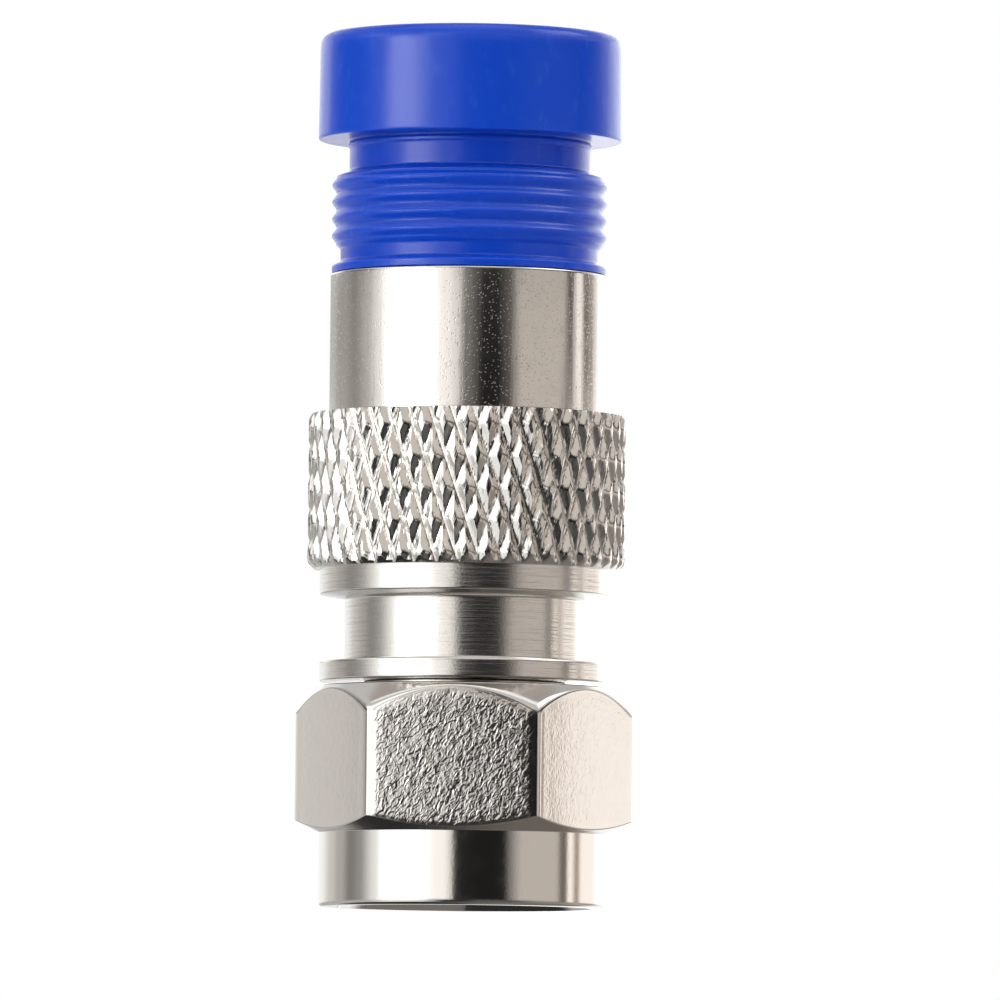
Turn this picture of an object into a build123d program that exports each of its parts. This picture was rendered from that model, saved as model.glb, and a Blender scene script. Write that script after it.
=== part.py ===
# Compression F connector for RG6 coaxial cable, standing on the open end of its nut.
# Five pieces on one axis: a hex nut that turns, a post it hangs on, a rubber ring between them,
# a turned body with a knurled band, and a plastic sleeve that is pressed into the body.
# Millimetres. The axis is Z, and the nut's open end lies on Z = 0.
from build123d import *
import math
import os

# Cable and port
JACKET_D = 6.90               # outside of the cable
DIELECTRIC_D = 4.57           # foam around the cable's core
THREAD_BORE_D = 8.80          # crest diameter of the 3/8-32 thread in the nut

# Nut
HEX_FLATS = 11.00             # across the flats
HEX_L = 5.44
HEX_CORNER_R = 0.38
HEX_FRONT_SLOPE = 27.0        # degrees of the bevel beside the skirt
HEX_REAR_SLOPE = 45.0
HEX_REAR_INSET = 0.10         # rear bevel begins this far inside the flats
SKIRT_D = 10.73
SKIRT_L = 2.75
SKIRT_EDGE = 0.16
THREAD_LEAD = 0.40            # chamfer at the mouth
THREAD_L = 4.30
RELIEF_L = 0.80               # run-out groove behind the thread
RELIEF_DEPTH = 0.40
LIP_L = 0.84                  # rear wall that the post's flange holds back

# Post
POST_BORE_CLEARANCE = 0.165   # around the dielectric
TUBE_WALL = 0.40
SHANK_STEP = 0.35             # the pressed shank is this much proud of the tube
SHANK_L = 3.80
BEARING_STEP = 0.55           # shoulder that the nut turns on, proud of the shank
FLANGE_L = 1.10
FLANGE_CLEARANCE = 0.10       # inside the nut's thread
FLANGE_EDGE = 0.12
BARB_RISE = 0.28
BARB_L = 1.30
BARB_COUNT = 2
TUBE_SETBACK = 0.30           # the tube ends this far before the sleeve's nose
TUBE_TIP = 0.15

# Seal
SEAL_SECTION = 1.00           # square
SEAL_CLEARANCE = 0.05         # inside the nut
SEAL_SEAT_CLEARANCE = 0.02    # on the post

# Body
BODY_FLANGE_D = 10.82
BODY_FLANGE_L = 0.73
BODY_GROOVE_D = 8.96
BODY_GROOVE_L = 2.51
COLLAR_D = 10.86
COLLAR_L = 0.95
TURNED_EDGE = 0.10            # broken edges of the flange and the collar
KNURL_RISE = 0.75             # crests above the barrel
KNURL_L = 5.75
KNURL_COUNT = 44              # grooves each way
KNURL_LEAN = 19.5             # degrees from the axis
KNURL_DEPTH = 0.24
KNURL_CREST = 0.24            # flat left between two grooves
KNURL_EDGE = 0.14
BARREL_WALL = 0.20
BARREL_L = 5.22
SEAT_DEPTH = 1.20             # how far the floor of the cable's seat lies behind the groove

# Sleeve
SLEEVE_BORE_CLEARANCE = 0.52  # around the jacket
SLEEVE_WALL = 0.95            # nose and rib crests
SLEEVE_FIT = 0.03             # between the nose and the barrel
NOSE_L = 4.00                 # inside the barrel before it is pressed
NOSE_TAPER_L = 2.00
NOSE_TIP_WALL = 0.38
BAND_L = 0.18                 # plain stretch that stands out of the barrel
GROOVE_L = 0.58
GROOVE_DEPTH = 0.26
CONE_L = 0.35                 # slope from the band down to the groove
RIB_COUNT = 4
RIB_PITCH = 0.633
RIB_DEPTH = 0.20
RIB_CREST = 0.20              # flat between the two bevels of a rib
NECK_WALL = 0.52
NECK_CONE_L = 0.18            # slope from the last rib down to the neck
NECK_L = 1.20
HEAD_LIP = 0.50               # head proud of the barrel, which it stops on
HEAD_DRAFT = 0.04
HEAD_L = 3.95
HEAD_TOP_R = 0.50             # rounded edge, made of two bevels
HEAD_FOOT_EDGE = 0.10
ENTRY_LEAD = 0.45             # chamfer where the cable goes in

# Gaps between pieces
NUT_FIT = 0.05                # nut on the post's bearing
NUT_PLAY = 0.17               # along the axis, between the nut and the body
RAMP_PLAY = 0.05              # pressed sleeve to the ramp in the body

# Radii that follow
thread_r = THREAD_BORE_D / 2
skirt_r = SKIRT_D / 2
post_bore_r = DIELECTRIC_D / 2 + POST_BORE_CLEARANCE
tube_r = post_bore_r + TUBE_WALL
shank_r = tube_r + SHANK_STEP
bearing_r = shank_r + BEARING_STEP
lip_bore_r = bearing_r + NUT_FIT
flange_r = thread_r - FLANGE_CLEARANCE
seal_r = thread_r - SEAL_CLEARANCE
seal_seat_r = seal_r - SEAL_SECTION - SEAL_SEAT_CLEARANCE
sleeve_bore_r = JACKET_D / 2 + SLEEVE_BORE_CLEARANCE
nose_r = sleeve_bore_r + SLEEVE_WALL
nose_tip_r = sleeve_bore_r + NOSE_TIP_WALL
neck_r = sleeve_bore_r + NECK_WALL
barrel_bore_r = nose_r + SLEEVE_FIT
barrel_r = barrel_bore_r + BARREL_WALL
knurl_r = barrel_r + KNURL_RISE
head_r = barrel_r + HEAD_LIP

# Levels that follow, from the nut's mouth up
nut_top = SKIRT_L + HEX_L
body_foot = nut_top + NUT_PLAY
bearing_foot = nut_top - LIP_L - SEAL_SEAT_CLEARANCE
seal_foot = bearing_foot - SEAL_SECTION - SEAL_SEAT_CLEARANCE
flange_top = seal_foot - SEAL_SEAT_CLEARANCE
flange_foot = flange_top - FLANGE_L
body_groove_foot = body_foot + BODY_FLANGE_L
collar_foot = body_groove_foot + BODY_GROOVE_L
knurl_foot = collar_foot + COLLAR_L
knurl_top = knurl_foot + KNURL_L
rim = knurl_top + BARREL_L
seat_floor = collar_foot + SEAT_DEPTH
ribs_foot = rim + BAND_L + GROOVE_L + CONE_L
ribs_top = ribs_foot + RIB_COUNT * RIB_PITCH
head_foot = ribs_top + NECK_CONE_L + NECK_L
head_top = head_foot + HEAD_L
nose_tip = rim - NOSE_L
tube_top = nose_tip - TUBE_SETBACK
press_travel = head_foot - rim
ramp_foot = nose_tip - press_travel - RAMP_PLAY

SAME = 1e-4


def round_edges(found, radius, height):
    """The circular edges of this radius at this height."""
    circles = found.filter_by(GeomType.CIRCLE)
    return circles.filter_by(
        lambda edge: abs(edge.radius - radius) < SAME and abs(edge.arc_center.Z - height) < SAME
    )


# Coupling nut: a bevelled hexagon on a round skirt
with BuildPart() as coupling_nut:
    with BuildSketch(Plane.XY.offset(SKIRT_L)):
        RegularPolygon(HEX_FLATS / 2, 6, major_radius=False)
        fillet(vertices(), HEX_CORNER_R)
    extrude(amount=HEX_L)

    # both ends of the hexagon are turned down to cones
    beyond_r = HEX_FLATS
    front_rise = (beyond_r - skirt_r) * math.tan(math.radians(HEX_FRONT_SLOPE))
    rear_r = HEX_FLATS / 2 - HEX_REAR_INSET
    rear_drop = (beyond_r - rear_r) * math.tan(math.radians(HEX_REAR_SLOPE))
    with BuildSketch(Plane.XZ):
        Polygon(
            (0, SKIRT_L),
            (skirt_r, SKIRT_L),
            (beyond_r, SKIRT_L + front_rise),
            (beyond_r, nut_top + HEX_L),
            (0, nut_top + HEX_L),
            align=None,
        )
    revolve(axis=Axis.Z, mode=Mode.INTERSECT)
    with BuildSketch(Plane.XZ):
        Polygon(
            (0, 0),
            (beyond_r, 0),
            (beyond_r, nut_top - rear_drop),
            (rear_r, nut_top),
            (0, nut_top),
            align=None,
        )
    revolve(axis=Axis.Z, mode=Mode.INTERSECT)

    with BuildSketch():
        Circle(skirt_r)
    extrude(amount=SKIRT_L)
    chamfer(round_edges(edges(), skirt_r, 0), SKIRT_EDGE)

    # thread bore, its run-out and the smaller hole in the lip
    with BuildSketch(Plane.XY):
        Circle(thread_r)
    extrude(amount=nut_top - LIP_L, mode=Mode.SUBTRACT)
    with BuildSketch(Plane.XY.offset(THREAD_L)):
        Circle(thread_r + RELIEF_DEPTH)
    extrude(amount=RELIEF_L, mode=Mode.SUBTRACT)
    with BuildSketch(Plane.XY.offset(nut_top - LIP_L)):
        Circle(lip_bore_r)
    extrude(amount=LIP_L, mode=Mode.SUBTRACT)
    chamfer(round_edges(edges(), thread_r, 0), THREAD_LEAD)

coupling_nut.part.label = "coupling_nut"

# Inner post: flange, seal seat, bearing, pressed shank and barbed tube, bored through
with BuildPart() as inner_post:
    with BuildSketch(Plane.XY.offset(flange_foot)):
        Circle(flange_r)
    extrude(amount=FLANGE_L)
    chamfer(round_edges(edges(), flange_r, flange_foot), FLANGE_EDGE)
    with BuildSketch(Plane.XY.offset(flange_top)):
        Circle(seal_seat_r)
    extrude(amount=bearing_foot - flange_top)
    with BuildSketch(Plane.XY.offset(bearing_foot)):
        Circle(bearing_r)
    extrude(amount=body_foot - bearing_foot)
    with BuildSketch(Plane.XY.offset(body_foot)):
        Circle(shank_r)
    extrude(amount=SHANK_L)
    with BuildSketch(Plane.XY.offset(body_foot + SHANK_L)):
        Circle(tube_r)
    extrude(amount=tube_top - body_foot - SHANK_L)

    # barbs that grip under the braid, steep towards the nut
    with BuildSketch(Plane.XZ):
        for step in range(BARB_COUNT):
            barb_top = tube_top - step * BARB_L
            Polygon(
                (post_bore_r, barb_top - BARB_L),
                (tube_r + BARB_RISE, barb_top - BARB_L),
                (tube_r, barb_top),
                (post_bore_r, barb_top),
                align=None,
            )
    revolve(axis=Axis.Z)
    with BuildSketch(Plane.XY.offset(flange_foot)):
        Circle(post_bore_r)
    extrude(amount=tube_top - flange_foot, mode=Mode.SUBTRACT)
    chamfer(round_edges(edges(), post_bore_r, tube_top), TUBE_TIP)

inner_post.part.label = "inner_post"

# Seal: a square-cut rubber ring on the post, inside the nut
with BuildPart() as nut_seal:
    with BuildSketch(Plane.XZ):
        with Locations((seal_r, seal_foot)):
            Rectangle(SEAL_SECTION, SEAL_SECTION, align=(Align.MAX, Align.MIN))
    revolve(axis=Axis.Z)

nut_seal.part.label = "nut_seal"


def knurl_groove(hand):
    """A straight V cutter for one groove of the knurl. It leans to the left for hand 1, to the right for -1.

    It touches the band at mid-height, and so runs out a little towards both ends. It starts
    that much deeper, so that its mean depth is the knurl's.
    """
    lean = math.radians(KNURL_LEAN)
    reach = KNURL_L / 2 + KNURL_EDGE
    root_r = knurl_r - KNURL_DEPTH
    run_out = math.hypot(root_r, reach * math.tan(lean)) - root_r
    floor_r = root_r - run_out / 3
    half_mouth = (2 * math.pi * knurl_r / KNURL_COUNT - KNURL_CREST) / 2 * math.cos(lean)
    beyond = 1.25
    with BuildPart() as groove:
        along = (0, hand * math.sin(lean), math.cos(lean))
        with BuildSketch(Plane((0, 0, knurl_foot + KNURL_L / 2), x_dir=(1, 0, 0), z_dir=along)):
            Polygon(
                (floor_r, 0),
                (floor_r + (knurl_r - floor_r) * beyond, half_mouth * beyond),
                (floor_r + (knurl_r - floor_r) * beyond, -half_mouth * beyond),
                align=None,
            )
        extrude(amount=reach / math.cos(lean), both=True)
    return groove.part


groove_left = knurl_groove(1)
groove_right = knurl_groove(-1)

# Body: turned outside, bored for the post, the cable and the sleeve, then knurled
with BuildPart() as connector_body:
    # the knurl's blank has a flat facet under every crest
    with BuildSketch(Plane.XY.offset(knurl_foot)):
        RegularPolygon(knurl_r, 2 * KNURL_COUNT, rotation=90 / KNURL_COUNT)
    extrude(amount=KNURL_L)
    chamfer(edges().filter_by(Plane.XY), KNURL_EDGE)

    with BuildSketch(Plane.XY.offset(body_foot)):
        Circle(BODY_FLANGE_D / 2)
    extrude(amount=BODY_FLANGE_L)
    with BuildSketch(Plane.XY.offset(body_groove_foot)):
        Circle(BODY_GROOVE_D / 2)
    extrude(amount=BODY_GROOVE_L)
    with BuildSketch(Plane.XY.offset(collar_foot)):
        Circle(COLLAR_D / 2)
    extrude(amount=COLLAR_L)
    with BuildSketch(Plane.XY.offset(knurl_top)):
        Circle(barrel_r)
    extrude(amount=BARREL_L)
    chamfer(round_edges(edges(), BODY_FLANGE_D / 2, body_groove_foot), TURNED_EDGE)
    chamfer(round_edges(edges(), COLLAR_D / 2, knurl_foot), TURNED_EDGE)

    # press hole for the post
    with BuildSketch(Plane.XY.offset(body_foot)):
        Circle(shank_r)
    extrude(amount=seat_floor - body_foot, mode=Mode.SUBTRACT)

    # cable seat, the ramp that squeezes the sleeve's nose, and the barrel's bore
    with BuildSketch(Plane.XZ):
        Polygon(
            (0, seat_floor),
            (nose_tip_r + SLEEVE_FIT, seat_floor),
            (nose_tip_r + SLEEVE_FIT, ramp_foot),
            (barrel_bore_r, ramp_foot + NOSE_TAPER_L),
            (barrel_bore_r, rim),
            (0, rim),
            align=None,
        )
    revolve(axis=Axis.Z, mode=Mode.SUBTRACT)

    # diamond knurl: V grooves leaning both ways
    for groove in (groove_left, groove_right):
        with PolarLocations(0, KNURL_COUNT):
            add(groove, mode=Mode.SUBTRACT)

connector_body.part.label = "connector_body"

# Sleeve: nose inside the barrel, groove and ribs above its rim, neck and head
rib_valley_r = nose_r - RIB_DEPTH
head_top_r = head_r - HEAD_DRAFT
halfway_round = HEAD_TOP_R * (1 - math.sin(math.radians(45)))
with BuildPart() as compression_sleeve:
    with BuildSketch(Plane.XZ):
        Polygon(
            (sleeve_bore_r, nose_tip),
            (nose_tip_r, nose_tip),
            (nose_r, nose_tip + NOSE_TAPER_L),
            (nose_r, rim + BAND_L),
            (nose_r - GROOVE_DEPTH, rim + BAND_L + CONE_L),
            (nose_r - GROOVE_DEPTH, ribs_foot - CONE_L / 2),
            (rib_valley_r, ribs_foot),
            (rib_valley_r, ribs_top),
            (neck_r, ribs_top + NECK_CONE_L),
            (neck_r, head_foot),
            (head_r, head_foot),
            (head_top_r, head_top - HEAD_TOP_R),
            (head_top_r - halfway_round, head_top - halfway_round),
            (head_top_r - HEAD_TOP_R, head_top),
            (sleeve_bore_r, head_top),
            align=None,
        )
    revolve(axis=Axis.Z)

    # bevelled ribs, whose crests are level with the nose
    with BuildSketch(Plane.XZ):
        rib_feet = [ribs_foot + step * RIB_PITCH for step in range(RIB_COUNT)]
        with Locations(*[(0, foot) for foot in rib_feet]):
            Polygon(
                (neck_r, 0),
                (rib_valley_r, 0),
                (nose_r, (RIB_PITCH - RIB_CREST) / 2),
                (nose_r, (RIB_PITCH + RIB_CREST) / 2),
                (rib_valley_r, RIB_PITCH),
                (neck_r, RIB_PITCH),
                align=None,
            )
    revolve(axis=Axis.Z)
    chamfer(round_edges(edges(), head_r, head_foot), HEAD_FOOT_EDGE)
    chamfer(round_edges(edges(), sleeve_bore_r, head_top), ENTRY_LEAD)

compression_sleeve.part.label = "compression_sleeve"

# One file for each piece
os.makedirs("parts", exist_ok=True)
for piece in (coupling_nut, inner_post, nut_seal, connector_body, compression_sleeve):
    export_step(piece.part, f"parts/{piece.part.label}.step")

print(f"height {head_top:.2f}, sleeve travel {press_travel:.2f}")
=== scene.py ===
"""Final looks of a compression F connector that stands on the open end of its nut.

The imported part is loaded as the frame, and a finely meshed piece of the same size stands for
each of its five nodes: nut, post, seal, body and sleeve. Every piece is a closed section that is
carried round the connector's axis. Sections are written in millimetres and meshes in metres.
"""

import logging
import math
from collections.abc import Sequence
from dataclasses import dataclass
from enum import Enum

import bpy
import numpy as np
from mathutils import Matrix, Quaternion, Vector

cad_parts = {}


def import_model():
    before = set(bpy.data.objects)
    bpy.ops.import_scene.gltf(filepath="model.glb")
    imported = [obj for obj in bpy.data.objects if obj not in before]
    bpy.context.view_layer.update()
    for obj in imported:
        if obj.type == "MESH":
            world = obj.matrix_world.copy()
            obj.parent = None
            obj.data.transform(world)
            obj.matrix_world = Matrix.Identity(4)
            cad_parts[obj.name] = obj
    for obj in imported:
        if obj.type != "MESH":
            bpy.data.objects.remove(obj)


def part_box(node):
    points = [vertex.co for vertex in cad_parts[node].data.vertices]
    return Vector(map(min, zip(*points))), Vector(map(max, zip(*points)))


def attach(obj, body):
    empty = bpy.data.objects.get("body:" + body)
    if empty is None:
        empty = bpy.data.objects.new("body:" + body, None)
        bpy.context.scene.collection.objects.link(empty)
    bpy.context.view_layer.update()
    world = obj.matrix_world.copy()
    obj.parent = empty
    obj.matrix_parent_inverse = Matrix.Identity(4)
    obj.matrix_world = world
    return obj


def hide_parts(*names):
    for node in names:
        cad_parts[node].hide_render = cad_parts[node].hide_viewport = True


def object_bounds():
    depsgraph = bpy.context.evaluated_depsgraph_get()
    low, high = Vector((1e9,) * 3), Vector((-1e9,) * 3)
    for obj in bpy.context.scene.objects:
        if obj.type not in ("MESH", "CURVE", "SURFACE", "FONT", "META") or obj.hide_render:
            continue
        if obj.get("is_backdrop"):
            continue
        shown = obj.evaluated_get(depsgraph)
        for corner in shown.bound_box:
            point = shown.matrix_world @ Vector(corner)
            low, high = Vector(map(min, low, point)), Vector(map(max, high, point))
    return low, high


MM = 0.001

log = logging.getLogger("connector")

Measure = float | np.ndarray
Triple = tuple[float, float, float]
Colour = Triple


class Slot(Enum):
    """The part's material slots."""

    NUT = "nickel_nut"
    POST = "nickel_post"
    SEAL = "seal_rubber"
    BODY = "nickel_body"
    SLEEVE = "blue_plastic"


class Zone(Enum):
    """Vertex attributes that say where a finish is strong, from 0 to 1."""

    WRINKLED = "wrinkled"
    TURNED = "turned"
    PITTED = "pitted"
    CUT = "cut"


def link(name: str, data: bpy.types.ID) -> bpy.types.Object:
    """Makes an object of a mesh or a camera, and adds it to the scene."""
    made = bpy.data.objects.new(name, data)
    bpy.context.scene.collection.objects.link(made)
    return made


# Sections


@dataclass(frozen=True)
class Corner:
    """One corner of a section.

    Attributes:
        r: Distance from the axis in millimetres, one number or one for each column.
        z: Height in millimetres, one number or one for each column.
        cut: How far its rounding reaches along both sides, one number or one for each column.
            Without it the corner is sharp.
    """

    r: Measure
    z: Measure
    cut: Measure = 0.0


@dataclass(frozen=True)
class Run:
    """A stretch of a section that is given point by point.

    Attributes:
        points: (r, z) for each row and column.
    """

    points: np.ndarray


ROUND_STEPS = 4
SUPPORT = 1.6  # a row beyond each end of a rounding, in cuts from the corner
NEAR = 0.01  # millimetres within which a point counts as on a surface


def ends(item: Corner | Run, columns: int) -> tuple[np.ndarray, np.ndarray]:
    """First and last (r, z) of an item of a section, for each column."""
    if isinstance(item, Run):
        return item.points[0], item.points[-1]
    point = np.stack([np.broadcast_to(item.r, columns), np.broadcast_to(item.z, columns)], axis=-1)
    return point, point


def carry(items: Sequence[Corner | Run], columns: int) -> np.ndarray:
    """Joins corners and runs into one closed section.

    A rounded corner P between the points A and B, one cut away along its two sides, is the
    parabola (1-t)^2 A + 2t(1-t) P + t^2 B. One more row beyond A and B keeps the sides' shading flat.

    Args:
        items: Corners and runs in order, up the outside and down the inside.
        columns: Number of columns round the axis.

    Returns:
        (r, z) in millimetres, with the shape (rows, columns, 2).
    """
    t = np.linspace(0, 1, ROUND_STEPS + 1)[:, None, None]
    rows = []
    for index, item in enumerate(items):
        if isinstance(item, Run):
            rows.append(item.points)
            continue
        here, _ = ends(item, columns)
        if not np.any(item.cut):
            rows.append(here[None])
            continue
        cut = np.broadcast_to(item.cut, columns)[:, None]
        before = ends(items[index - 1], columns)[1] - here
        after = ends(items[(index + 1) % len(items)], columns)[0] - here
        before = before / np.linalg.norm(before, axis=-1, keepdims=True) * cut
        after = after / np.linalg.norm(after, axis=-1, keepdims=True) * cut
        arc = (1 - t) ** 2 * (here + before) + 2 * t * (1 - t) * here + t**2 * (here + after)
        rows += [(here + before * SUPPORT)[None], arc, (here + after * SUPPORT)[None]]
    return np.concatenate(rows)


def even_angles(columns: int) -> np.ndarray:
    """Equally spaced angles once round the axis, in radians."""
    return np.arange(columns) * (2 * np.pi / columns)


def quads_between(rows: int, columns: int, skip: range = range(0)) -> np.ndarray:
    """Quads of a grid that closes on itself both ways, apart from the strips that start at skipped rows."""
    low = np.array([row for row in range(rows) if row not in skip])[:, None]
    high = (low + 1) % rows
    here = np.arange(columns)[None, :]
    there = (here + 1) % columns
    corners = [low * columns + here, low * columns + there, high * columns + there, high * columns + here]
    return np.stack(np.broadcast_arrays(*corners), axis=-1).reshape(-1, 4)


@dataclass(frozen=True)
class Ring:
    """A closed surface round the axis.

    Attributes:
        points: Vertices in millimetres, with the shape (rows, columns, 3).
        zones: Values for each vertex, by zone.
        quads: Vertex numbers of the four-sided faces.
        triangles: Vertex numbers of the three-sided faces.
    """

    points: np.ndarray
    zones: dict[Zone, np.ndarray]
    quads: np.ndarray
    triangles: np.ndarray

    @staticmethod
    def round(section: np.ndarray, angles: np.ndarray, zones: dict[Zone, np.ndarray] | None = None) -> "Ring":
        """Carries a section round: x = r cos a, y = r sin a.

        Args:
            section: (r, z) for each row and column.
            angles: Angle of each column in radians.
            zones: Values for each row and column, by zone.

        Returns:
            The closed ring.
        """
        r, z = section[..., 0], section[..., 1]
        points = np.stack([r * np.cos(angles), r * np.sin(angles), z], axis=-1)
        rows, columns = r.shape
        return Ring(points, zones or {}, quads_between(rows, columns), np.empty((0, 3), int))

    def mesh(self, name: str) -> bpy.types.Mesh:
        """Writes the ring into a new smooth mesh, in metres."""
        data = bpy.data.meshes.new(name)
        vertices = self.points.reshape(-1, 3) * MM
        data.vertices.add(len(vertices))
        data.vertices.foreach_set("co", vertices.astype(np.float32).ravel())
        indices = np.concatenate([self.quads.ravel(), self.triangles.ravel()])
        sizes = np.concatenate([np.full(len(self.quads), 4), np.full(len(self.triangles), 3)])
        data.loops.add(len(indices))
        data.loops.foreach_set("vertex_index", indices.astype(np.int32))
        data.polygons.add(len(sizes))
        data.polygons.foreach_set("loop_start", (np.cumsum(sizes) - sizes).astype(np.int32))
        data.update(calc_edges=True)
        for zone, values in self.zones.items():
            layer = data.attributes.new(zone.value, "FLOAT", "POINT")
            layer.data.foreach_set("value", np.ascontiguousarray(values, np.float32).ravel())
        data.shade_smooth()
        return data


# Shader arithmetic


class Wire:
    """An output of a shader's node, with the arithmetic that adds the nodes for it."""

    def __init__(self, shader: "Shader", socket: bpy.types.NodeSocket) -> None:
        self.shader = shader
        self.socket = socket

    def __add__(self, other: "Wire | float") -> "Wire":
        return self.shader.math("ADD", self, other)

    __radd__ = __add__

    def __sub__(self, other: "Wire | float") -> "Wire":
        return self.shader.math("SUBTRACT", self, other)

    def __rsub__(self, other: float) -> "Wire":
        return self.shader.math("SUBTRACT", other, self)

    def __mul__(self, other: "Wire | float") -> "Wire":
        return self.shader.math("MULTIPLY", self, other)

    __rmul__ = __mul__

    def above(self, low: float, high: float) -> "Wire":
        """0 up to low, 1 from high on, and a smooth step between."""
        settings = {"interpolation_type": "SMOOTHSTEP"}
        return self.shader.node("MapRange", settings, Value=self, **{"From Min": low, "From Max": high})


class Shader:
    """A material that is built from wires."""

    def __init__(self, name: str) -> None:
        self.material = bpy.data.materials.new(name)
        self.material.use_nodes = True
        self.tree = self.material.node_tree
        self.tree.nodes.clear()

    def node(self, kind: str, settings: dict[str, object] | None = None, output: str | int = 0, **inputs) -> Wire:
        """Adds one node and sets or links its inputs.

        Args:
            kind: The node's type without the leading ShaderNode.
            settings: The node's own properties.
            output: The output that is returned.
            **inputs: A wire or a value for each input, by the input's name.

        Returns:
            The chosen output.
        """
        made = self.tree.nodes.new(f"ShaderNode{kind}")
        for key, value in (settings or {}).items():
            setattr(made, key, value)
        for key, value in inputs.items():
            self.feed(made.inputs[key], value)
        return Wire(self, made.outputs[output])

    def feed(self, socket: bpy.types.NodeSocket, value: "Wire | float | Sequence[float]") -> None:
        """Links a wire to an input, or sets the input's own value."""
        if isinstance(value, Wire):
            self.tree.links.new(value.socket, socket)
        else:
            socket.default_value = value

    def math(self, operation: str, first: "Wire | float", second: "Wire | float") -> Wire:
        """One arithmetic operation on two numbers."""
        made = self.tree.nodes.new("ShaderNodeMath")
        made.operation = operation
        self.feed(made.inputs[0], first)
        self.feed(made.inputs[1], second)
        return Wire(self, made.outputs[0])

    def zone(self, zone: Zone) -> Wire:
        """The strength of a zone at this point."""
        return self.node("Attribute", {"attribute_name": zone.value}, "Fac")

    def noise(
        self,
        size: float,
        stretch: Triple = (1, 1, 1),
        turn: Triple = (0, 0, 0),
        detail: float = 2.0,
        rough: float = 0.5,
        curl: float = 0.0,
    ) -> Wire:
        """Even noise about 0.5.

        Args:
            size: Size of its features in millimetres.
            stretch: How many times longer they are along each axis.
            turn: Degrees by which those axes are turned about X, Y and Z.
            detail: Number of finer layers.
            rough: Strength of each finer layer against the one before.
            curl: How far its features are bent.

        Returns:
            The noise.
        """
        coordinates = self.node("TexCoord", None, "Object")
        scale = [value * size * MM for value in stretch]
        turned = [math.radians(value) for value in turn]
        settings = {"vector_type": "TEXTURE"}
        where = self.node("Mapping", settings, Vector=coordinates, Rotation=turned, Scale=scale)
        look = {"Detail": detail, "Roughness": rough, "Distortion": curl}
        return self.node("TexNoise", None, 0, Vector=where, Scale=1.0, **look)

    def bump(self, height: Wire) -> Wire:
        """A normal that is tilted by a height in millimetres."""
        return self.node("Bump", None, 0, Height=height, Distance=MM, Strength=1.0)

    def mix(self, share: "Wire | float", first: "Wire | Colour", second: "Wire | Colour") -> Wire:
        """Blends two colours."""
        made = self.tree.nodes.new("ShaderNodeMix")
        made.data_type = "RGBA"
        self.feed(made.inputs[0], share)
        for socket, value in ((made.inputs[6], first), (made.inputs[7], second)):
            self.feed(socket, value if isinstance(value, Wire) else (*value, 1.0))
        return Wire(self, made.outputs[2])

    def blend(self, share: Wire, first: Wire, second: Wire) -> Wire:
        """Mixes two shadings."""
        made = self.tree.nodes.new("ShaderNodeMixShader")
        for index, value in enumerate((share, first, second)):
            self.feed(made.inputs[index], value)
        return Wire(self, made.outputs[0])

    def surface(self, **inputs) -> bpy.types.Material:
        """Ends the material with a principled surface, and returns it."""
        return self.end(self.node("BsdfPrincipled", None, 0, **inputs))

    def end(self, shading: Wire) -> bpy.types.Material:
        """Ends the material with this shading, and returns it."""
        output = self.tree.nodes.new("ShaderNodeOutputMaterial")
        self.tree.links.new(shading.socket, output.inputs["Surface"])
        return self.material


# Finishes


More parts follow.
